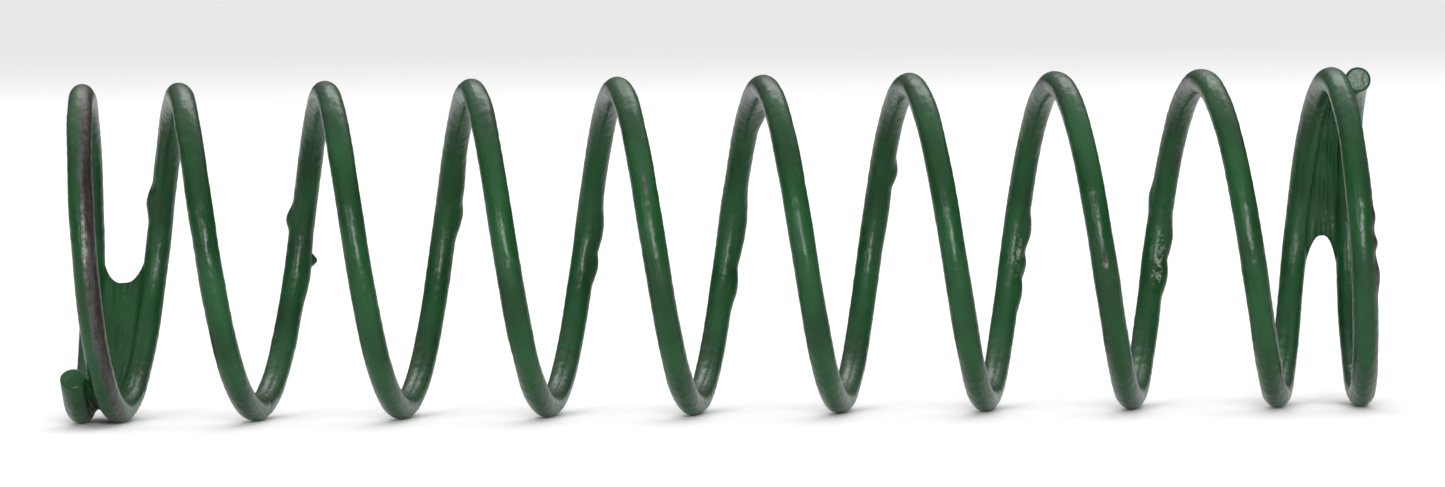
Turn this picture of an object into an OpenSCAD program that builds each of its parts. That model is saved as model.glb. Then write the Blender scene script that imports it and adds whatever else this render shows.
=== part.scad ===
// Helical compression spring with closed, unground ends, lying on its side with its axis along X.
// One round steel wire is wound right-handed, then dipped in thick paint. The paint bridges the narrow
// gaps beside both closed ends and leaves small drips on the open turns.

/* [Wire and paint] */
// Diameter of the bare steel wire
wire_d = 3; // [2.6:0.1:3.2]
// Thickness of the paint around the wire
paint_t = 0.15; // [0.08:0.01:0.2]

/* [Winding] */
// Mean diameter of the coil, measured to the middle of the wire
mean_d = 40; // [38:1:44]
// Axial advance of one open turn
pitch = 18.6; // [18:0.1:20]
// Number of turns from one cut tip to the other
turns = 10.6; // [10.5:0.05:10.7]
// Angle of the right cut tip before the top of the coil
tip_angle = 4.5; // [0:0.5:10]

/* [Closed ends] */
// Share of a turn beside each tip that has no pitch
end_flat = 0.31; // [0.30:0.005:0.35]
// Number of turns over which the pitch grows to its full value
end_ramp = 1.2; // [1.15:0.01:1.2]

/* [Paint bridges] */
// Thickness of the paint film between two turns
web_t = 0.4; // [0.3:0.05:0.6]
// Share of a turn that the left bridge covers
left_web_run = 0.3; // [0.25:0.01:0.31]
// Share of a turn that the right bridge covers
right_web_run = 0.25; // [0.2:0.01:0.28]

/* [Hidden] */
$fn = 64;

steel = [0.36, 0.37, 0.38];
green = [0.05, 0.30, 0.12];

coil_r = mean_d / 2;
wire_r = wire_d / 2;
coat_r = wire_r + paint_t;
rest_height = coil_r + coat_r;

// Each end piece holds its closed turn and the start of the rising one; the rest is shared by open turns.
end_run = 1.6;
open_count = 7;
open_run = (turns - 2 * end_run) / open_count;

// Flats round the wire, and sections along one turn
sides = 10;
sections = 24;
// Width of the saw cut between two neighbouring runs, as a share of a turn
cut_share = 0.04 / (PI * mean_d);
// Depth of the paint over a cut tip, as a share of a turn
cap_share = paint_t / (PI * mean_d);

// Winding angle: 0 at the top of the coil, 90 at the front, 180 at the bottom
function angle_at(n) = 360 * (n - turns) - tip_angle;
function radial(a) = [0, -sin(a), cos(a)];
along = [1, 0, 0];

// Pitches gained between a tip and a point m turns from it: none, then growing evenly, then one a turn
function gain(m) =
    m < end_flat ? 0 :
    m < end_flat + end_ramp ? pow(m - end_flat, 2) / (2 * end_ramp) :
    m - end_flat - end_ramp / 2;
half_rise = pitch * gain(turns / 2);
function axial_at(n) = n < turns / 2 ? pitch * gain(n) - half_rise : half_rise - pitch * gain(turns - n);

// The middle of the wire at n turns from the left tip
function centre(n) = [axial_at(n), 0, rest_height] + coil_r * radial(angle_at(n));

// A direction square to the winding: 0 points away from the coil's axis, 90 to the right
function outward(n, a) = cos(a) * radial(angle_at(n)) + sin(a) * along;

// Drips: turns from the left tip, direction round the wire, radius
drips = [
    [[2.39, -80, 0.55], [2.35, 80, 0.6]],
    [[3.39, 85, 0.55]],
    [[4.36, 85, 0.6], [4.4, 80, 0.5]],
    [[5.36, 85, 0.6], [5.31, 95, 0.6], [5.51, 90, 0.45]],
    [[6.43, 85, 0.55]],
    [[7.36, 90, 0.6], [7.31, 85, 0.55]],
    [[8.37, 85, 0.6], [8.32, 95, 0.6]]
];
// Kept under the thickness of the paint, so that no drip reaches the steel
drip_sink = 0.12;

// Sections of a round bar of radius r, from n = from to n = to
function bar(from, to, r) =
    let (steps = round((to - from) * sections))
    [for (i = [0 : steps], s = [0 : sides - 1])
        let (n = from + (to - from) * i / steps) centre(n) + r * outward(n, 360 * s / sides)];

// Two triangles for each flat between neighbouring sections, turned inside out when flip is true
function walls(count, offset, flip) =
    [for (i = [0 : count / sides - 2], s = [0 : sides - 1])
        let (p = offset + i * sides + s, q = offset + i * sides + (s + 1) % sides)
        each (flip ? [[p, q, p + sides], [q, q + sides, p + sides]]
                  : [[p, p + sides, q], [q, p + sides, q + sides]])];

function disc(start, flip) = [[for (s = [0 : sides - 1]) start + (flip ? sides - 1 - s : s)]];
function washer(outer, inner, flip) =
    [for (s = [0 : sides - 1])
        let (t = (s + 1) % sides)
        each (flip ? [[outer + s, inner + s, outer + t], [outer + t, inner + s, inner + t]]
                  : [[outer + s, outer + t, inner + s], [outer + t, inner + t, inner + s]])];

// The steel between two places on the winding
module wire(from, to) {
    points = bar(from, to, wire_r);
    n = len(points);
    color(steel) polyhedron(points, concat(disc(0, false), walls(n, 0, false), disc(n - sides, true)));
}

// The paint on that steel: a sleeve, closed over a cut tip where left_tip or right_tip is true
module paint(from, to, left_tip = false, right_tip = false) {
    bore = bar(from, to, wire_r);
    n = len(bore);
    skin = [for (i = [0 : n - 1])
        let (row = floor(i / sides), last = n / sides - 1,
             at = from + (to - from) * row / last
                - (left_tip && row == 0 ? cap_share : 0) + (right_tip && row == last ? cap_share : 0))
        centre(at) + coat_r * outward(at, 360 * (i % sides) / sides)];
    left_face = left_tip ? concat(disc(0, false), disc(n, true)) : washer(0, n, false);
    right_face = right_tip ? concat(disc(n - sides, true), disc(2 * n - sides, false))
                           : washer(n - sides, 2 * n - sides, true);
    color(green)
    polyhedron(concat(skin, bore), concat(left_face, walls(n, 0, false), walls(n, n, true), right_face));
}

// Where open turn k starts and ends, counted from 1 at the left
function open_start(k) = end_run + (k - 1) * open_run + cut_share / 2;
function open_end(k) = end_run + k * open_run - cut_share / 2;

module left_end_wire() wire(0, end_run - cut_share / 2);
module right_end_wire() wire(turns - end_run + cut_share / 2, turns);
module turn_wire(k) wire(open_start(k), open_end(k));
module left_end_paint() paint(0, end_run - cut_share / 2, left_tip = true);
module right_end_paint() paint(turns - end_run + cut_share / 2, turns, right_tip = true);
module turn_paint(k) paint(open_start(k), open_end(k));

// From the strand at n to the one a turn further on, and the film's edge on either of them
bridge_sink = 0.1;
function toward(n) = (centre(n + 1) - centre(n)) / norm(centre(n + 1) - centre(n));
function edge(n, side) =
    side < 0 ? centre(n) + (coat_r - bridge_sink) * toward(n)
             : centre(n + 1) - (coat_r - bridge_sink) * toward(n);

// A film between two neighbouring strands, from n = from to n = to on the left one
module paint_bridge(from, to) {
    steps = 12;
    // Corners of each section, in order round it
    corners = [[-1, -1], [-1, 1], [1, 1], [1, -1]];
    points = [for (j = [0 : steps], c = corners)
        let (n = from + (to - from) * j / steps) edge(n, c[0]) + c[1] * web_t / 2 * radial(angle_at(n))];
    film = [for (j = [0 : steps - 1], c = [0 : 3])
        let (p = 4 * j + c, q = 4 * j + (c + 1) % 4)
        each [[p, p + 4, q], [q, p + 4, q + 4]]];
    color(green)
    polyhedron(points, concat([[0, 1, 2, 3]], film, [[for (c = [3 : -1 : 0]) 4 * steps + c]]));
}

module left_paint_bridge() paint_bridge(0.02, left_web_run);
module right_paint_bridge() paint_bridge(turns - 1 - right_web_run, turns - 1.02);

module turn_drips(k) color(green)
    for (d = drips[k - 1])
        translate(centre(d[0]) + (coat_r + d[2] - drip_sink) * outward(d[0], d[1]))
        sphere(r = d[2]);

left_end_wire();
turn_wire(1);  // turn_1_wire
turn_wire(2);  // turn_2_wire
turn_wire(3);  // turn_3_wire
turn_wire(4);  // turn_4_wire
turn_wire(5);  // turn_5_wire
turn_wire(6);  // turn_6_wire
turn_wire(7);  // turn_7_wire
right_end_wire();
left_end_paint();
turn_paint(1);  // turn_1_paint
turn_paint(2);  // turn_2_paint
turn_paint(3);  // turn_3_paint
turn_paint(4);  // turn_4_paint
turn_paint(5);  // turn_5_paint
turn_paint(6);  // turn_6_paint
turn_paint(7);  // turn_7_paint
right_end_paint();
left_paint_bridge();
right_paint_bridge();
turn_drips(1);  // turn_1_drips
turn_drips(2);  // turn_2_drips
turn_drips(3);  // turn_3_drips
turn_drips(4);  // turn_4_drips
turn_drips(5);  // turn_5_drips
turn_drips(6);  // turn_6_drips
turn_drips(7);  // turn_7_drips
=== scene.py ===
"""A green painted compression spring with closed ends, lying on a pale floor.

One steel wire is wound right-handed and dipped in thick paint. The visual model winds
the wire and its coat again with the paint's own lumps, drips and wear. It does so in
spans that each stretch between two neighbouring bodies of the frame, so that the coil
closes up evenly when its slides do.
"""

import logging
import math
import random
from dataclasses import dataclass, field
from enum import Enum
from typing import Callable

import bpy
import numpy as np
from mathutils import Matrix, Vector

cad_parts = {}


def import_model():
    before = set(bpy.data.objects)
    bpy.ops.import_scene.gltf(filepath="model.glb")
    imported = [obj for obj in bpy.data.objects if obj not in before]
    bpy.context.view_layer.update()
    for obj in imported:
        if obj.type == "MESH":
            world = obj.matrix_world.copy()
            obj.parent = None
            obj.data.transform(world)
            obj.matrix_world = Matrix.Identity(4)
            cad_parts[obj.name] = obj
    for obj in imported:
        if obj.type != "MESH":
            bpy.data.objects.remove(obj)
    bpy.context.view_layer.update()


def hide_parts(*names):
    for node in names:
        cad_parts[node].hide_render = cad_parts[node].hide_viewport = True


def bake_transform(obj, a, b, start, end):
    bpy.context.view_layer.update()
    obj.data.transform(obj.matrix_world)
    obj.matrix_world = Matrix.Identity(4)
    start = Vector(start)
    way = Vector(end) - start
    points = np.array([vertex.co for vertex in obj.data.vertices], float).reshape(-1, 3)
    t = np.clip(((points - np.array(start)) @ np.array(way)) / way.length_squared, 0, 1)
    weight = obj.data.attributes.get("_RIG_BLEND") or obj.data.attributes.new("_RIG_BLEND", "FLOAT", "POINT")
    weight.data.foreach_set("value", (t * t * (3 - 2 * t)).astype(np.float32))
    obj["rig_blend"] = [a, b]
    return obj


logging.basicConfig(level=logging.INFO, format="%(message)s")
LOG = logging.getLogger("coil_spring")

MM = 0.001
FULL_TURN = 2 * math.pi

Colour = tuple[float, float, float, float]
Ripple = tuple[float, int, float, float]


class Slot(Enum):
    """The record's material slots."""

    STEEL = "spring_steel"
    PAINT = "green_paint"


# ---------------------------------------------------------------- the winding


@dataclass(frozen=True)
class Winding:
    """The rule that the wire's middle follows, in metres, turns and degrees.

    It is the rule that the frame's solids are wound by. The right tip stands tip_angle
    short of the coil's top. The first end_flat turns from each tip gain no pitch, and
    over the next end_ramp turns the pitch grows to its full size.
    """

    wire_radius: float = 1.5 * MM
    paint_thickness: float = 0.15 * MM
    coil_radius: float = 20.0 * MM
    pitch: float = 18.6 * MM
    turns: float = 10.6
    tip_angle: float = 4.5
    end_flat: float = 0.31
    end_ramp: float = 1.2

    @property
    def coat_radius(self) -> float:
        """Radius of the painted wire."""
        return self.wire_radius + self.paint_thickness

    @property
    def axis_height(self) -> float:
        """Height of the coil's axis above the floor."""
        return self.coil_radius + self.coat_radius

    @property
    def turn_length(self) -> float:
        """Length of wire in one turn."""
        return FULL_TURN * self.coil_radius

    def gain(self, inward: np.ndarray) -> np.ndarray:
        """Pitches gained between a tip and a place.

        Args:
            inward: Turns from the nearer tip.

        Returns:
            None at first, then growing evenly, then one a turn.
        """
        ramp = np.clip(inward - self.end_flat, 0.0, self.end_ramp)
        beyond = np.maximum(inward - self.end_flat - self.end_ramp, 0.0)
        return ramp**2 / (2 * self.end_ramp) + beyond

    def along(self, turn: np.ndarray) -> np.ndarray:
        """Place along the coil's axis.

        Args:
            turn: Turns from the left tip.

        Returns:
            X in metres.
        """
        half = self.gain(np.array(self.turns / 2))
        left = self.gain(np.minimum(turn, self.turns / 2)) - half
        right = half - self.gain(self.turns - np.maximum(turn, self.turns / 2))
        return self.pitch * np.where(turn < self.turns / 2, left, right)

    def angle(self, turn: np.ndarray) -> np.ndarray:
        """Winding angle in radians, 0 at the top and a quarter turn at the front."""
        return np.radians(360.0 * (turn - self.turns) - self.tip_angle)

    def outward(self, turn: np.ndarray) -> np.ndarray:
        """Unit directions away from the coil's axis.

        Args:
            turn: Turns from the left tip.

        Returns:
            One row of X, Y and Z for each place.
        """
        angle = self.angle(turn)
        return np.stack([np.zeros_like(angle), -np.sin(angle), np.cos(angle)], axis=-1)

    def middle(self, turn: np.ndarray) -> np.ndarray:
        """The middle of the wire.

        Args:
            turn: Turns from the left tip.

        Returns:
            One point for each place.
        """
        points = self.coil_radius * self.outward(turn)
        points[..., 0] += self.along(turn)
        points[..., 2] += self.axis_height
        return points

    def skin(
        self, turn: np.ndarray, around: np.ndarray, radius: np.ndarray
    ) -> np.ndarray:
        """Points on a skin round the wire.

        Args:
            turn: Turns from the left tip.
            around: Angle round the wire in radians: 0 away from the coil's axis, a
                quarter turn towards the right.
            radius: Distance from the middle of the wire.

        Returns:
            One point for each place.
        """
        rise = (radius * np.cos(around))[..., None]
        points = self.middle(turn) + rise * self.outward(turn)
        points[..., 0] += radius * np.sin(around)
        return points


@dataclass(frozen=True)
class Travel:
    """How far each place on the winding moves when the coil closes.

    A span joins two neighbouring bodies, and each place on it takes a share of both
    motions. The end and open shares are the travels of the frame's slides, at the two
    ends and between the open turns, in millimetres.
    """

    bodies: tuple[str, ...] = (
        "fixed_end",
        *(f"turn_{k}" for k in range(1, 8)),
        "moving_end",
    )
    first_turn: float = 1.0
    last_turn: float = 9.6
    end_share: float = 8.0
    open_share: float = 14.0

    @property
    def last_span(self) -> int:
        """Number of the span that ends at the right tip."""
        return len(self.bodies) - 2

    @property
    def stations(self) -> list[float]:
        """The places that move exactly as the seven turns' own bodies do."""
        total = 2 * self.end_share + (self.last_span - 1) * self.open_share
        each = (self.last_turn - self.first_turn) / total
        return [
            self.first_turn + each * (self.end_share + k * self.open_share)
            for k in range(self.last_span)
        ]

    def ends(self, span: int) -> tuple[float, float]:
        """Where a span's share is none and where it is whole.

        Args:
            span: Number of the span, from 0 at the left.

        Returns:
            Two places in turns from the left tip.
        """
        marks = [self.first_turn, *self.stations, self.last_turn]
        return marks[span], marks[span + 1]

    def share(self, span: int, turn: np.ndarray) -> np.ndarray:
        """How much of the right body's motion each place takes.

        Args:
            span: Number of the span, from 0 at the left.
            turn: Turns from the left tip.

        Returns:
            0 where the left body is followed, 1 where the right one is.
        """
        start, end = self.ends(span)
        return np.clip((turn - start) / (end - start), 0.0, 1.0)


# ---------------------------------------------------------------- the coat's unevenness


@dataclass(frozen=True)
class Drip:
    """A mound of paint that ran and set, in turns, degrees and millimetres."""

    turn: float
    around: float
    height: float
    length: float = 1.6
    width: float = 0.75
    peak: float = 1.0


@dataclass(frozen=True)
class Mark:
    """A worn, dirty or rough stretch of the coat, in turns and degrees."""

    turn: float
    around: float
    length: float
    width: float
    strength: float = 1.0


DRIPS = (
    Drip(1.41, -88, 0.55, 1.5, 0.8),
    Drip(2.39, -84, 0.60, 1.1, 0.6),
    Drip(2.345, 82, 0.95, 0.8, 0.45, 1.6),
    Drip(2.33, 88, 0.35, 2.8, 1.0),
    Drip(3.39, 84, 0.55, 1.9, 0.9),
    Drip(3.415, 92, 0.30, 3.2, 1.1),
    Drip(4.37, 88, 0.50, 2.3, 0.9),
    Drip(4.335, 84, 0.50, 1.5, 0.8),
    Drip(5.37, 86, 0.48, 3.2, 1.1),
    Drip(5.31, 95, 0.42, 1.8, 0.9),
    Drip(5.52, 95, 0.55, 2.4, 1.0),
    Drip(6.43, 85, 0.52, 1.4, 0.8),
    Drip(6.385, 95, 0.22, 3.0, 1.1),
    Drip(7.365, 90, 0.48, 1.6, 0.8),
    Drip(7.33, 82, 0.42, 1.2, 0.7),
    Drip(7.30, 95, 0.35, 1.6, 0.9),
    Drip(8.40, -60, 0.30, 1.4, 0.9),
    Drip(8.355, 88, 0.40, 1.8, 0.9),
    Drip(8.315, 95, 0.45, 1.6, 0.9),
    Drip(9.835, 86, 0.22, 0.8, 0.7),
    Drip(9.862, 82, 0.34, 0.7, 0.6, 1.3),
    Drip(9.895, 88, 0.36, 1.5, 0.7),
)

WORN = (
    Mark(0.83, 46, 0.25, 57, 1.15),
    Mark(0.62, 52, 0.10, 40, 0.9),
    Mark(1.03, 44, 0.10, 34, 0.85),
    Mark(0.30, -70, 0.12, 24, 0.45),
    Mark(0.06, 80, 0.05, 34, 0.8),
    Mark(0.20, 180, 0.10, 40, 0.30),
    Mark(9.84, 66, 0.10, 20, 0.95),
    Mark(9.70, 40, 0.02, 18, 0.8),
    Mark(7.875, 4, 0.010, 12, 1.1),
    Mark(7.82, -4, 0.012, 10, 0.7),
    Mark(4.80, 2, 0.022, 12, 0.75),
    Mark(4.885, 6, 0.012, 10, 0.7),
    Mark(8.45, 150, 0.03, 26, 0.7),
    Mark(2.12, 60, 0.03, 26, 0.55),
)

ROUGH = (
    Mark(7.34, 150, 0.035, 40, 1.0),
    Mark(8.33, 160, 0.05, 45, 1.0),
    Mark(9.44, 120, 0.03, 35, 0.8),
    Mark(9.86, 40, 0.05, 25, 0.5),
    Mark(4.84, 10, 0.03, 20, 0.35),
)


@dataclass
class CoatRelief:
    """The coat's uneven thickness: long waves, fine lumps, drips and worn stretches.

    Its heights and depths are in millimetres.
    """

    winding: Winding
    seed: int = 11
    wave_height: float = 0.035
    lump_height: float = 0.019
    rough_height: float = 0.05
    rough_stretch: float = 1.7
    worn_depth: float = 0.09
    shrinkage: float = 0.03
    drip_foot: float = 2.0
    drip_steepness: float = 2.2
    waves: list[Ripple] = field(default_factory=list)
    lumps: list[Ripple] = field(default_factory=list)

    def __post_init__(self) -> None:
        """Draws the waves and lumps once."""
        dice = random.Random(self.seed)
        self.waves = self._draw(dice, count=12, rates=(2, 16), orders=2)
        self.lumps = self._draw(dice, count=26, rates=(25, 95), orders=5)

    @staticmethod
    def _draw(
        dice: random.Random, count: int, rates: tuple[float, float], orders: int
    ) -> list[Ripple]:
        """Draws ripples.

        Args:
            dice: Where the numbers come from.
            count: How many ripples.
            rates: Fewest and most crests in one turn of the coil.
            orders: Most crests round the wire.

        Returns:
            Rate, order, phase and size of each ripple.
        """
        return [
            (
                dice.uniform(*rates),
                dice.randint(-orders, orders),
                dice.uniform(0, FULL_TURN),
                dice.uniform(0.4, 1),
            )
            for _ in range(count)
        ]

    @staticmethod
    def _ripples(
        draws: list[Ripple], turn: np.ndarray, around: np.ndarray
    ) -> np.ndarray:
        """A sum of ripples, about 1 high."""
        total = sum(
            size * np.sin(rate * FULL_TURN * turn + order * around + phase)
            for rate, order, phase, size in draws
        )
        return total / math.sqrt(len(draws))

    def spread(self, mark: Mark, turn: np.ndarray, around: np.ndarray) -> np.ndarray:
        """How much of a mark each place has.

        Args:
            mark: The mark.
            turn: Turns from the left tip.
            around: Angle round the wire in radians.

        Returns:
            The mark's strength at its middle, fading to none.
        """
        along = (turn - mark.turn) / mark.length
        off = (np.degrees(around) - mark.around + 180) % 360 - 180
        return mark.strength * np.exp(-(along**2) - (off / mark.width) ** 2)

    def covered(
        self, marks: tuple[Mark, ...], turn: np.ndarray, around: np.ndarray
    ) -> np.ndarray:
        """The strongest of several marks at each place."""
        return np.max([self.spread(mark, turn, around) for mark in marks], axis=0)

    def drip_height(self, turn: np.ndarray, around: np.ndarray) -> np.ndarray:
        """Height of the drips.

        Args:
            turn: Turns from the left tip.
            around: Angle round the wire in radians.

        Returns:
            Metres above the coat, none where no drip is.
        """
        height = np.zeros_like(turn)
        for drip in DRIPS:
            run = (turn - drip.turn) * self.winding.turn_length / MM / drip.length
            off = (around - math.radians(drip.around) + math.pi) % FULL_TURN - math.pi
            side = off * self.winding.coat_radius / MM / drip.width
            reach = np.maximum(1.0 - (run**2 + side**2) / self.drip_foot**2, 0.0)
            mound = drip.height * MM * reach ** (self.drip_steepness * drip.peak)
            height = np.maximum(height, mound)
        return height

    def height(self, turn: np.ndarray, around: np.ndarray) -> np.ndarray:
        """Height of the coat's surface above its nominal radius.

        Args:
            turn: Turns from the left tip.
            around: Angle round the wire in radians.

        Returns:
            Metres, mostly a little below or above none.
        """
        long_waves = self.wave_height * MM * self._ripples(self.waves, turn, around)
        fine = self.lump_height * MM * self._ripples(self.lumps, turn, around)
        rough = self.rough_height * MM * self.covered(ROUGH, turn, around)
        broken = rough * self._ripples(self.lumps, turn * self.rough_stretch, around)
        worn = np.clip(self.covered(WORN, turn, around), 0, 1)
        thinned = self.worn_depth * MM * worn
        uneven = long_waves + fine + broken - thinned - self.shrinkage * MM
        return uneven + self.drip_height(turn, around)


# ---------------------------------------------------------------- shader tools


@dataclass
class Sock:
    """A shader value that can be added, multiplied and so on."""

    nodes: "Nodes"
    link: bpy.types.NodeSocket

    def _math(self, operation: str, *others: "Sock | float") -> "Sock":
        """One Math node on this value and others."""
        values = {0: self, **{i + 1: other for i, other in enumerate(others)}}
        return self.nodes.add("ShaderNodeMath", {"operation": operation}, values)

    def __add__(self, other: "Sock | float") -> "Sock":
        """This plus other."""
        return self._math("ADD", other)

    def __sub__(self, other: "Sock | float") -> "Sock":
        """This less other."""
        return self._math("SUBTRACT", other)

    def __rsub__(self, other: float) -> "Sock":
        """Other less this."""
        return self.nodes.add(
            "ShaderNodeMath", {"operation": "SUBTRACT"}, {0: other, 1: self}
        )

    def __mul__(self, other: "Sock | float") -> "Sock":
        """This times other."""
        return self._math("MULTIPLY", other)

    __radd__ = __add__
    __rmul__ = __mul__

    def step(self, low: float, high: float) -> "Sock":
        """A soft step that is 0 below low and 1 above high."""
        return self.nodes.add(
            "ShaderNodeMapRange",
            {"interpolation_type": "SMOOTHSTEP"},
            {"Value": self, "From Min": low, "From Max": high},
        )


class Nodes:
    """Builds the nodes of one tree."""

    def __init__(self, tree: bpy.types.NodeTree) -> None:
        """Starts on a tree."""
        self.tree = tree

    def add(
        self,
        kind: str,
        settings: dict[str, object] | None = None,
        values: dict[str | int, object] | None = None,
        output: str | int = 0,
    ) -> Sock:
        """Adds a node.

        Args:
            kind: The node's type.
            settings: Its own settings, set first; the key stops holds the places and
                colours of a ramp that eases between them.
            values: A value or another node's output for each of its sockets.
            output: Which of its outputs to use.

        Returns:
            That output.
        """
        node = self.tree.nodes.new(kind)
        for key, value in (settings or {}).items():
            if key == "stops":
                node.color_ramp.interpolation = "EASE"
                ramp = node.color_ramp.elements
                for place, _ in value[2:]:
                    ramp.new(place)
                for element, (place, colour) in zip(ramp, value):
                    element.position, element.color = place, colour
            else:
                setattr(node, key, value)
        for key, value in (values or {}).items():
            self.feed(node.inputs[key], value)
        return Sock(self, node.outputs[output])

    def feed(self, socket: bpy.types.NodeSocket, value: object) -> None:
        """Gives a socket a link or a plain value.

        Args:
            socket: The socket.
            value: Another node's output, or a number, vector or colour.
        """
        if isinstance(value, Sock):
            self.tree.links.new(value.link, socket)
        else:
            socket.default_value = value


class FinishNodes(Nodes):
    """Builds one material's nodes."""

    COLOUR_A, COLOUR_B, COLOUR_RESULT = 6, 7, 2

    def __init__(self, name: str) -> None:
        """Makes a material with a fresh shader.

        Args:
            name: The material's name.
        """
        self.material = bpy.data.materials.new(name)
        self.material.use_nodes = True
        super().__init__(self.material.node_tree)
        self.tree.nodes.clear()
        self.shader = self.tree.nodes.new("ShaderNodeBsdfPrincipled")
        out = self.tree.nodes.new("ShaderNodeOutputMaterial")
        self.tree.links.new(self.shader.outputs["BSDF"], out.inputs["Surface"])

    def mix(self, share: Sock | float, first: object, second: object) -> Sock:
        """A colour between two others."""
        return self.add(
            "ShaderNodeMix",
            {"data_type": "RGBA"},
            {0: share, self.COLOUR_A: first, self.COLOUR_B: second},
            self.COLOUR_RESULT,
        )

    def attribute(self, name: str, output: str = "Fac") -> Sock:
        """A value that the mesh carries."""
        return self.add("ShaderNodeAttribute", {"attribute_name": name}, output=output)

    def place(self) -> Sock:
        """Object coordinates."""
        return self.add("ShaderNodeTexCoord", output="Object")

    def run(self, stretch: tuple[float, float, float] = (1, 1, 1)) -> Sock:
        """Coordinates that follow the wire: along it, and across its section."""
        where = self.attribute("wire_run", "Vector")
        return self.add("ShaderNodeMapping", values={"Vector": where, "Scale": stretch})

    def noise(
        self, where: Sock, scale: float, detail: float = 3.0, roughness: float = 0.55
    ) -> Sock:
        """Cloudy noise from 0 to 1."""
        return self.add(
            "ShaderNodeTexNoise",
            values={
                "Vector": where,
                "Scale": scale,
                "Detail": detail,
                "Roughness": roughness,
            },
        )

    def bump(
        self, height: Sock, strength: float, depth: float, under: Sock | None = None
    ) -> Sock:
        """Small relief for the Normal socket.

        Args:
            height: The relief, from 0 to 1.
            strength: How much of it shows.
            depth: Metres that 1 stands for.
            under: A coarser relief that it lies on.

        Returns:
            The surface's direction.
        """
        values: dict[str | int, object] = {
            "Height": height,
            "Strength": strength,
            "Distance": depth,
        }
        if under is not None:
            values["Normal"] = under
        return self.add("ShaderNodeBump", values=values)

    def dress(self, **sockets: object) -> None:
        """Sets the shader's sockets, with _ for a space in their names."""
        for name, value in sockets.items():
            self.feed(self.shader.inputs[name.replace("_", " ")], value)


# ---------------------------------------------------------------- finishes


@dataclass(frozen=True)
class GreenEnamel:
    """Thick glossy green paint, mottled and dusty in places.

    It is rubbed dark where another part bore on it.
    """

    deep: Colour = (0.0035, 0.027, 0.0065, 1)
    fresh: Colour = (0.0055, 0.049, 0.0125, 1)
    dull: Colour = (0.018, 0.044, 0.022, 1)
    rubbed: Colour = (0.075, 0.072, 0.076, 1)
    rust: Colour = (0.030, 0.022, 0.014, 1)
    pale: Colour = (0.34, 0.36, 0.28, 1)
    cloud_scale: float = 95
    streak_scale: float = 900
    grain_scale: float = 1500
    powder_scale: float = 4200
    peel_scale: float = 800
    peel_depth: float = 0.3 * MM
    scuff_depth: float = 0.12 * MM
    powder_depth: float = 0.06 * MM
    roughness: float = 0.31
    gloss_level: float = 0.24
    gloss_index: float = 1.45
    lacquer: float = 0.05
    lacquer_roughness: float = 0.16

    def material(self, name: str = "green enamel") -> bpy.types.Material:
        """Makes the paint.

        Args:
            name: The material's name.

        Returns:
            The material, which reads the mesh's wear, rough and wire_run attributes.
        """
        n = FinishNodes(name)
        clouds = n.noise(n.run((1, 1.6, 1.6)), self.cloud_scale, 3)
        streaks = n.noise(n.run((0.12, 1, 1)), self.streak_scale, 3, 0.6)
        grain = n.noise(n.run(), self.grain_scale, 4, 0.65)
        fine = n.noise(n.place(), self.powder_scale, 2)
        wear = n.attribute("wear")
        rough = n.attribute("rough")

        tone = n.mix(clouds.step(0.3, 0.7), self.deep, self.fresh)
        dust = (clouds * 0.5 + streaks * 0.5).step(0.48, 0.72)
        tone = n.mix(dust * 0.35, tone, self.dull)
        edge = wear + (grain - 0.5) * 0.55 + (streaks - 0.5) * 0.5
        bare = edge.step(0.36, 0.72)
        bright = (streaks * 0.6 + grain * 0.4).step(0.38, 0.66)
        rubbed = n.mix(bright, self.rust, self.rubbed)
        tone = n.mix(bare * 0.93, tone, rubbed)
        flecks = (rough * 0.8 + (grain - 0.5) * 1.9).step(0.66, 0.95)
        tone = n.mix(flecks * 0.42, tone, self.pale)
        pits = (1 - grain).step(0.66, 0.74)
        tone = n.mix(pits * 0.35, tone, self.rust)

        orange_peel = n.noise(n.run((0.6, 1, 1)), self.peel_scale, 3)
        peel = n.bump(orange_peel, 0.6, self.peel_depth)
        scuff = n.bump(streaks, 0.4, self.scuff_depth, peel)
        powder = fine * 0.5 + grain * (0.5 + rough)
        n.dress(
            Base_Color=tone,
            Roughness=self.roughness + 0.2 * dust + 0.06 * bare + 0.2 * flecks,
            Metallic=bare * 0.75,
            Normal=n.bump(powder, 0.25, self.powder_depth, scuff),
            IOR=self.gloss_index,
            Specular_IOR_Level=self.gloss_level,
            Coat_Weight=(1 - bare) * self.lacquer,
            Coat_Roughness=self.lacquer_roughness,
        )
        return n.material


@dataclass(frozen=True)
class SpringSteel:
    """Drawn spring steel wire, dark and faintly lined along its length."""

    dark: Colour = (0.20, 0.20, 0.205, 1)
    light: Colour = (0.42, 0.42, 0.43, 1)
    line_scale: float = 2600
    line_depth: float = 0.03 * MM

    def material(self, name: str = "drawn spring steel") -> bpy.types.Material:
        """Makes the steel.

        Args:
            name: The material's name.

        Returns:
            The material, which reads the mesh's wire_run attribute.
        """
        n = FinishNodes(name)
        lines = n.noise(n.run((0.03, 1, 1)), self.line_scale, 4, 0.6)
        n.dress(
            Base_Color=n.mix(lines, self.dark, self.light),
            Metallic=1.0,
            Roughness=0.3 + 0.2 * lines,
            Normal=n.bump(lines, 0.2, self.line_depth),
        )
        return n.material


@dataclass(frozen=True)
class PaleFloor:
    """A plain pale studio floor."""

    tone: Colour = (0.95, 0.95, 0.95, 1)

    def material(self, name: str = "pale floor") -> bpy.types.Material:
        """Makes the floor's material."""
        n = FinishNodes(name)
        n.dress(Base_Color=self.tone, Roughness=0.9, Specular_IOR_Level=0.1)
        return n.material


# ---------------------------------------------------------------- modelling tools


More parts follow.
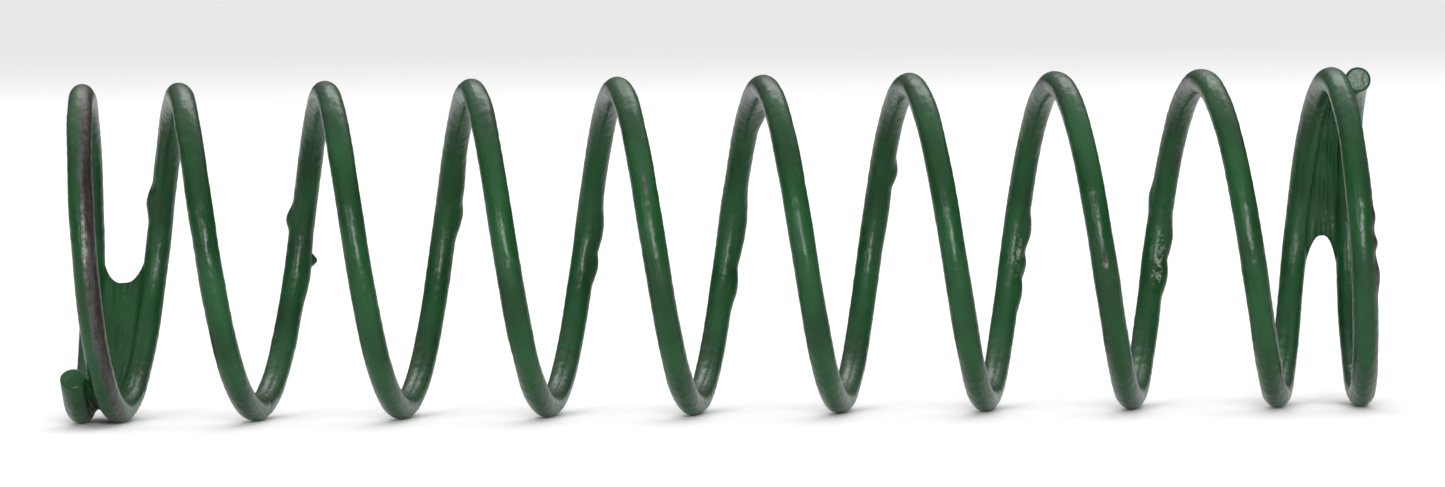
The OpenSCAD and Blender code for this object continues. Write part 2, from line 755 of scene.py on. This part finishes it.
class Bench:
    """Modelling steps that every piece uses."""

    LOOP_ANGLE = math.radians(300)
    SHARP_ANGLE = math.radians(50)

    @staticmethod
    def clear_selection() -> None:
        """Deselects everything in object mode."""
        if bpy.context.object is not None and bpy.context.object.mode != "OBJECT":
            bpy.ops.object.mode_set(mode="OBJECT")
        bpy.ops.object.select_all(action="DESELECT")

    @classmethod
    def wound_tube(
        cls, name: str, winding: Winding, radius: float, sides: int, rings: int
    ) -> bpy.types.Object:
        """Winds an open tube from a circle, before its pitch is drawn out.

        Args:
            name: The piece's name.
            winding: The winding's sizes.
            radius: The tube's radius.
            sides: Vertices round the tube.
            rings: Number of rings along it.

        Returns:
            A mesh object whose vertices run ring by ring.
        """
        cls.clear_selection()
        bpy.ops.mesh.primitive_circle_add(
            vertices=sides,
            radius=radius,
            fill_type="NOTHING",
            rotation=(math.pi / 2, 0, 0),
        )
        tube = bpy.context.object
        tube.name = tube.data.name = name
        bpy.ops.object.transform_apply(location=False, rotation=True, scale=False)
        bpy.ops.object.mode_set(mode="EDIT")
        bpy.ops.mesh.select_all(action="SELECT")
        bpy.ops.transform.translate(value=(0, 0, winding.coil_radius))
        bpy.ops.object.mode_set(mode="OBJECT")
        screw = tube.modifiers.new("wind", "SCREW")
        screw.axis = "X"
        screw.angle = cls.LOOP_ANGLE
        screw.steps = screw.render_steps = rings - 1
        screw.use_merge_vertices = False
        screw.use_smooth_shade = True
        bpy.ops.object.modifier_apply(modifier=screw.name)
        return tube

    @staticmethod
    def lay(piece: bpy.types.Object, points: np.ndarray) -> None:
        """Gives a mesh's vertices their places."""
        piece.data.vertices.foreach_set("co", points.reshape(-1).astype(np.float32))
        piece.data.update()

    @staticmethod
    def carry(piece: bpy.types.Object, name: str, values: np.ndarray) -> None:
        """Stores a value or a vector at every vertex.

        Args:
            piece: The mesh object.
            name: The attribute's name.
            values: One number or one row of three for each vertex.
        """
        kind, key = "FLOAT", "value"
        if values.ndim == 2:
            kind, key = "FLOAT_VECTOR", "vector"
        attribute = piece.data.attributes.new(name, kind, "POINT")
        attribute.data.foreach_set(key, values.reshape(-1).astype(np.float32))

    @classmethod
    def close_ends(cls, piece: bpy.types.Object) -> None:
        """Caps open ends, turns all faces outwards and smooths all but sharp edges.

        Args:
            piece: The mesh object.
        """
        cls.clear_selection()
        piece.select_set(True)
        bpy.context.view_layer.objects.active = piece
        bpy.ops.object.mode_set(mode="EDIT")
        bpy.ops.mesh.select_all(action="SELECT")
        bpy.ops.mesh.fill_holes(sides=0)
        bpy.ops.mesh.select_all(action="SELECT")
        bpy.ops.mesh.normals_make_consistent(inside=False)
        bpy.ops.object.mode_set(mode="OBJECT")
        bpy.ops.object.shade_smooth_by_angle(angle=cls.SHARP_ANGLE)

    @staticmethod
    def follow(
        piece: bpy.types.Object, travel: Travel, span: int, share: np.ndarray
    ) -> None:
        """Hangs a piece between two bodies, each vertex by its own share.

        Args:
            piece: The finished mesh object.
            travel: How the winding closes.
            span: Number of the span, from 0 at the left.
            share: How much of the right body's motion each vertex takes, 0 to 1.
        """
        left, right = travel.bodies[span], travel.bodies[span + 1]
        along = [vertex.co.x for vertex in piece.data.vertices]
        start, end = (min(along), 0, 0), (max(along) + MM, 0, 0)
        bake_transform(piece, left, right, start=start, end=end)
        weights = piece.data.attributes["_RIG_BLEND"].data
        weights.foreach_set("value", share.reshape(-1).astype(np.float32))


# ---------------------------------------------------------------- the spring


@dataclass
class WireSpans:
    """The steel wire and its coat, wound in spans from body to body."""

    winding: Winding
    travel: Travel
    relief: CoatRelief
    coat_sides: int = 48
    coat_rings: int = 360
    core_sides: int = 16
    core_rings: int = 90
    core_undercut: float = 0.06 * MM
    fewest_rings: int = 8
    tip_round: float = 0.35 * MM
    tip_rings: int = 9

    def limits(self, span: int) -> tuple[float, float]:
        """Where a span starts and ends.

        Args:
            span: Number of the span, from 0 at the left.

        Returns:
            Two places in turns from the left tip.
        """
        start, end = self.travel.ends(span)
        if span == 0:
            start = 0.0
        if span == self.travel.last_span:
            end = self.winding.turns
        return start, end

    def ring_places(self, span: int, per_turn: int, rounded: bool) -> np.ndarray:
        """Places of the rings along a span, closer together at a rounded tip.

        Args:
            span: Number of the span, from 0 at the left.
            per_turn: Rings in a turn.
            rounded: Whether a cut tip is covered and rounded.

        Returns:
            Turns from the left tip, rising.
        """
        start, end = self.limits(span)
        count = max(int(round((end - start) * per_turn)), self.fewest_rings)
        places = np.linspace(start, end, count + 1)
        reach = self.tip_round / self.winding.turn_length
        ease = reach * (1 - np.cos(np.linspace(0, math.pi / 2, self.tip_rings)))
        cap = self.winding.paint_thickness / self.winding.turn_length
        if rounded and span == 0:
            rest = places[places > start + reach]
            places = np.concatenate([start - cap + ease, rest])
        if rounded and span == self.travel.last_span:
            rest = places[places < end - reach]
            places = np.concatenate([rest, (end + cap - ease)[::-1]])
        return places

    def tip_drop(self, places: np.ndarray) -> np.ndarray:
        """How far the coat's radius falls off at rings beside a cut tip.

        Args:
            places: Turns from the left tip.

        Returns:
            Metres to take off the radius.
        """
        cap = self.winding.paint_thickness / self.winding.turn_length
        inside = np.minimum(places + cap, self.winding.turns + cap - places)
        near = np.clip(inside * self.winding.turn_length / self.tip_round, 0.0, 1.0)
        return self.tip_round * (1 - np.sqrt(1 - (1 - near) ** 2))

    def tube(
        self,
        name: str,
        span: int,
        sides: int,
        per_turn: int,
        rounded: bool,
        radius_at: Callable[[np.ndarray, np.ndarray], np.ndarray],
    ) -> bpy.types.Object:
        """Winds one closed piece along a span.

        Args:
            name: The piece's name.
            span: Number of the span, from 0 at the left.
            sides: Vertices round the wire.
            per_turn: Rings in a turn.
            rounded: Whether a cut tip is covered and rounded.
            radius_at: The radius at a place and an angle round the wire.

        Returns:
            The finished piece, hung between its two bodies.
        """
        wind = self.winding
        places = self.ring_places(span, per_turn, rounded)
        piece = Bench.wound_tube(name, wind, wind.coat_radius, sides, len(places))
        first = np.array([v.co[:] for v in piece.data.vertices[:sides]])
        spoke = np.arctan2(first[:, 0], first[:, 2] - wind.coil_radius)
        turn, around = np.meshgrid(places, spoke, indexing="ij")
        Bench.lay(piece, wind.skin(turn, around, radius_at(turn, around)))
        run = np.stack(
            [
                turn * wind.turn_length,
                wind.coat_radius * np.cos(around),
                wind.coat_radius * np.sin(around),
            ],
            axis=-1,
        )
        Bench.carry(piece, "wire_run", run.reshape(-1, 3))
        for kind, marks in (("wear", WORN), ("rough", ROUGH)):
            covered = self.relief.covered(marks, turn, around)
            Bench.carry(piece, kind, covered.reshape(-1))
        Bench.close_ends(piece)
        Bench.follow(piece, self.travel, span, self.travel.share(span, turn))
        return piece

    def coat(self, span: int) -> bpy.types.Object:
        """Makes the paint along a span.

        Args:
            span: Number of the span, from 0 at the left.

        Returns:
            The finished coat.
        """

        def radius_at(turn: np.ndarray, around: np.ndarray) -> np.ndarray:
            """The coat's radius with its relief and rounded tips."""
            relief = self.relief.height(turn, around)
            return self.winding.coat_radius + relief - self.tip_drop(turn)

        name = f"paint_coat_{span + 1}"
        return self.tube(name, span, self.coat_sides, self.coat_rings, True, radius_at)

    def core(self, span: int) -> bpy.types.Object:
        """Makes the steel along a span.

        Args:
            span: Number of the span, from 0 at the left.

        Returns:
            The finished wire.
        """

        def radius_at(turn: np.ndarray, around: np.ndarray) -> np.ndarray:
            """The wire's radius, a hair undersize so that thin paint covers it."""
            return np.full_like(turn, self.winding.wire_radius - self.core_undercut)

        name = f"steel_wire_{span + 1}"
        return self.tube(name, span, self.core_sides, self.core_rings, False, radius_at)


@dataclass
class PaintFilm:
    """A film of paint between two neighbouring turns, with a rounded free edge.

    It starts at closed_turn, where the turns touch. Its free edge lies at free_turn
    half way across, and its arms reach on to arm_turn along both strands.
    """

    winding: Winding
    travel: Travel
    name: str
    span: int
    closed_turn: float
    free_turn: float
    arm_turn: float
    middle_thickness: float = 0.34 * MM
    root_thickness: float = 2.1 * MM
    root_sink: float = 0.55 * MM
    sag: float = 0.25 * MM
    wave_height: float = 0.14 * MM
    edge_bow: float = 2.6
    root_narrowness: float = 3.2
    rim_rows: float = 7
    rim_thinning: float = 0.96
    across: int = 40
    rows: int = 72

    def build(self) -> bpy.types.Object:
        """Makes the film.

        In what follows, s runs across the film from the left strand to the right one,
        and t along it from its closed end to its free edge.

        Returns:
            The finished piece, hung between the two bodies of its span.
        """
        Bench.clear_selection()
        bpy.ops.mesh.primitive_grid_add(
            x_subdivisions=self.across, y_subdivisions=self.rows, size=2
        )
        piece = bpy.context.object
        piece.name = piece.data.name = self.name
        grid = np.array([v.co[:] for v in piece.data.vertices])
        s, t = (grid[:, 0] + 1) / 2, (grid[:, 1] + 1) / 2
        edge = np.abs(2 * s - 1)
        bow = 1 - np.sqrt(np.clip(1 - edge**self.edge_bow, 0, 1))
        reach = self.free_turn + (self.arm_turn - self.free_turn) * bow
        turn = self.closed_turn + (reach - self.closed_turn) * t
        left, right = self.winding.middle(turn), self.winding.middle(turn + 1)
        points = left + (right - left) * self.spread(s, left, right)[:, None]
        Bench.lay(piece, points)
        flare = self.root_thickness - self.middle_thickness
        thick = self.middle_thickness + flare * edge**self.root_narrowness
        rim = np.clip((1 - t) * self.rows / self.rim_rows, 0, 1)
        thick = thick * np.sqrt(1 - (1 - rim) ** 2 * self.rim_thinning)
        wave = self.wave_height * self.folds(s, t) * (1 - edge**2)
        return self.thicken(piece, points, turn, thick, wave, s)

    @staticmethod
    def folds(s: np.ndarray, t: np.ndarray) -> np.ndarray:
        """Uneven folds over a film, about 1 high: broad crossed ones and a fine one."""
        broad = np.sin(11 * s + 9 * t) * np.sin(5 * t + 7 * s + 1)
        return broad + 0.6 * np.sin(23 * s - 16 * t + 2)

    def spread(self, s: np.ndarray, left: np.ndarray, right: np.ndarray) -> np.ndarray:
        """Shares of the way between two strands, from inside one coat to the other.

        Args:
            s: Even shares, from 0 at the left strand to 1 at the right one.
            left: Points in the middle of the left strand.
            right: Points in the middle of the right strand.

        Returns:
            The shares that the film's vertices lie at.
        """
        gap = np.linalg.norm(right - left, axis=1)
        sink = (self.winding.coat_radius - self.root_sink) / gap
        return sink + (1 - 2 * sink) * s

    def thicken(
        self,
        piece: bpy.types.Object,
        points: np.ndarray,
        turn: np.ndarray,
        thick: np.ndarray,
        wave: np.ndarray,
        s: np.ndarray,
    ) -> bpy.types.Object:
        """Gives the film its two faces.

        Args:
            piece: The flat grid.
            points: Its vertices in place.
            turn: The left strand's place for each vertex.
            thick: The film's thickness at each vertex.
            wave: How far the film's middle strays from the straight way across.
            s: Share of the way from the left strand to the right one.

        Returns:
            The finished piece.
        """
        out = self.winding.outward(turn)
        sunk = self.sag * np.sin(math.pi * s)
        middle = points + out * (wave - sunk)[:, None]
        solid = piece.modifiers.new("thickness", "SOLIDIFY")
        solid.thickness = self.middle_thickness
        solid.offset = 0
        solid.use_even_offset = False
        bpy.ops.object.modifier_apply(modifier=solid.name)
        count = len(points)
        half = out * (thick / 2)[:, None]
        Bench.lay(piece, np.concatenate([middle + half, middle - half]))
        twice = np.concatenate([turn, turn])
        share = np.concatenate([s, s])
        run = np.stack(
            [
                twice * self.winding.turn_length,
                2 * self.winding.wire_radius * share,
                np.repeat([0.0, 1.0], count) * MM,
            ],
            axis=-1,
        )
        Bench.carry(piece, "wire_run", run)
        Bench.carry(piece, "wear", np.zeros(2 * count))
        Bench.carry(piece, "rough", np.zeros(2 * count))
        Bench.close_ends(piece)
        near = self.travel.share(self.span, twice)
        far = self.travel.share(self.span, twice + 1)
        Bench.follow(piece, self.travel, self.span, (1 - share) * near + share * far)
        return piece


@dataclass
class CoilSpring:
    """The whole spring: steel, coat and films.

    The frame has nine lengths of wire for eight spans, so some spans stand for another
    turn than the one of their own number, or for two.
    """

    SPAN_TURNS = {0: ["left_end"], 6: ["turn_6", "turn_7"], 7: ["right_end"]}
    SPAN_DRIPS = {1: [1], 2: [2], 3: [3], 4: [4, 5], 5: [6], 6: [7]}

    winding: Winding = field(default_factory=Winding)
    travel: Travel = field(default_factory=Travel)

    def replaced(self, span: int, kind: str) -> list[str]:
        """The frame's nodes that a span's piece stands for.

        Args:
            span: Number of the span, from 0 at the left.
            kind: paint or wire.

        Returns:
            Node names.
        """
        names = self.SPAN_TURNS.get(span, [f"turn_{span}"])
        return [f"{name}_{kind}" for name in names]

    def build(self) -> None:
        """Makes, dresses and hangs every piece."""
        relief = CoatRelief(self.winding)
        spans = WireSpans(self.winding, self.travel, relief)
        enamel, steel = GreenEnamel().material(), SpringSteel().material()
        for span in range(self.travel.last_span + 1):
            paint, wire = self.replaced(span, "paint"), self.replaced(span, "wire")
            drips = [f"turn_{k}_drips" for k in self.SPAN_DRIPS.get(span, [])]
            self.finish(spans.coat(span), enamel, Slot.PAINT, paint + drips)
            self.finish(spans.core(span), steel, Slot.STEEL, wire)
        for film in self.films():
            bridge = film.name.replace("film", "bridge")
            self.finish(film.build(), enamel, Slot.PAINT, [bridge])

    def films(self) -> list[PaintFilm]:
        """The two films, one beside each closed end."""
        last = self.winding.turns - 1
        return [
            PaintFilm(
                self.winding,
                self.travel,
                name="left_paint_film",
                span=0,
                closed_turn=0.004,
                free_turn=0.324,
                arm_turn=0.378,
            ),
            PaintFilm(
                self.winding,
                self.travel,
                name="right_paint_film",
                span=self.travel.last_span,
                closed_turn=last - 0.004,
                free_turn=last - 0.243,
                arm_turn=last - 0.33,
            ),
        ]

    @staticmethod
    def finish(
        piece: bpy.types.Object,
        material: bpy.types.Material,
        slot: Slot,
        nodes: list[str],
    ) -> None:
        """Dresses a piece and says which of the frame's nodes it stands for.

        Args:
            piece: The piece, already hung on its bodies.
            material: Its finish.
            slot: The record's slot for that finish; not used.
            nodes: The nodes that it stands for.
        """
        piece.data.materials.clear()
        piece.data.materials.append(material)
        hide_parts(*nodes)
        count = len(piece.data.vertices)
        LOG.info("%s: %d vertices, stands for %s", piece.name, count, ", ".join(nodes))


# ---------------------------------------------------------------- the studio


@dataclass(frozen=True)
class Lamp:
    """A soft rectangular light that faces the spring, in metres and watts."""

    name: str
    place: tuple[float, float, float]
    size: tuple[float, float]
    power: float


LAMPS = (
    Lamp("front_strip", (0.16, -1.4, 0.24), (0.42, 0.62), 23.0),
    Lamp("front_left_strip", (-0.75, -1.3, 0.45), (0.16, 0.5), 4.0),
    Lamp("back_fill", (0.1, 1.25, 1.3), (1.3, 0.8), 9.0),
)


@dataclass
class Studio:
    """Floor, lights and camera.

    Each stop of the sky gives a height, 0 at the horizon and 1 overhead, and its tone.
    """

    focus: Vector
    floor_size: float = 60.0
    lens: float = 190.0
    sensor_width: float = 36.0
    shift: tuple[float, float] = (0.00173, 0.00104)
    clip: tuple[float, float] = (0.01, 100.0)
    distance: float = 0.972
    elevation: float = 2.5
    roll: float = 0.77
    sky: tuple[tuple[float, float], ...] = ((0.035, 0.66), (0.085, 0.07), (1.0, 1.0))
    sky_strength: float = 1.25

    def floor(self) -> None:
        """Lays a wide pale floor under the spring."""
        Bench.clear_selection()
        bpy.ops.mesh.primitive_plane_add(size=self.floor_size, location=(0, 0, 0))
        floor = bpy.context.object
        floor.name = "studio_floor"
        floor.data.materials.append(PaleFloor().material())

    def camera(self) -> None:
        """Sets the camera in front of the spring, a little above it."""
        rise = math.radians(self.elevation)
        back = Vector((0, -math.cos(rise), math.sin(rise)))
        bpy.ops.object.camera_add(location=self.focus + back * self.distance)
        camera = bpy.context.object
        camera.name = "camera"
        camera.rotation_euler = (-back).to_track_quat("-Z", "Y").to_euler()
        camera.rotation_euler.rotate_axis("Z", -math.radians(self.roll))
        camera.data.lens = self.lens
        camera.data.sensor_width = self.sensor_width
        camera.data.clip_start, camera.data.clip_end = self.clip
        camera.data.shift_x, camera.data.shift_y = self.shift
        bpy.context.scene.camera = camera

    def light(self, lamp: Lamp) -> None:
        """Adds a light.

        Args:
            lamp: What it is and where it stands.
        """
        bpy.ops.object.light_add(type="AREA", location=lamp.place)
        light = bpy.context.object
        light.name = lamp.name
        light.data.shape = "RECTANGLE"
        light.data.size, light.data.size_y = lamp.size
        light.data.energy = lamp.power
        aim = self.focus - Vector(lamp.place)
        light.rotation_euler = aim.to_track_quat("-Z", "Y").to_euler()

    def sky_light(self) -> None:
        """Adds a soft sky, pale at the horizon and brightest overhead."""
        world = bpy.data.worlds.new("studio")
        world.use_nodes = True
        n = Nodes(world.node_tree)
        where = n.add("ShaderNodeTexCoord", output="Generated")
        height = n.add("ShaderNodeSeparateXYZ", values={"Vector": where}, output="Z")
        stops = [(place, (tone, tone, tone, 1)) for place, tone in self.sky]
        glow = n.add("ShaderNodeValToRGB", {"stops": stops}, {"Fac": height}, "Color")
        background = n.tree.nodes["Background"]
        n.feed(background.inputs["Color"], glow)
        n.feed(background.inputs["Strength"], self.sky_strength)
        bpy.context.scene.world = world

    def build(self) -> None:
        """Makes the whole studio."""
        bpy.context.scene.view_settings.view_transform = "Standard"
        self.camera()
        self.floor()
        for lamp in LAMPS:
            self.light(lamp)
        self.sky_light()


def main() -> None:
    """Loads the frame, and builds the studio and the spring."""
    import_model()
    winding = Winding()
    Studio(Vector((0, 0, winding.axis_height))).build()
    CoilSpring(winding).build()


if __name__ == "__main__":
    main()
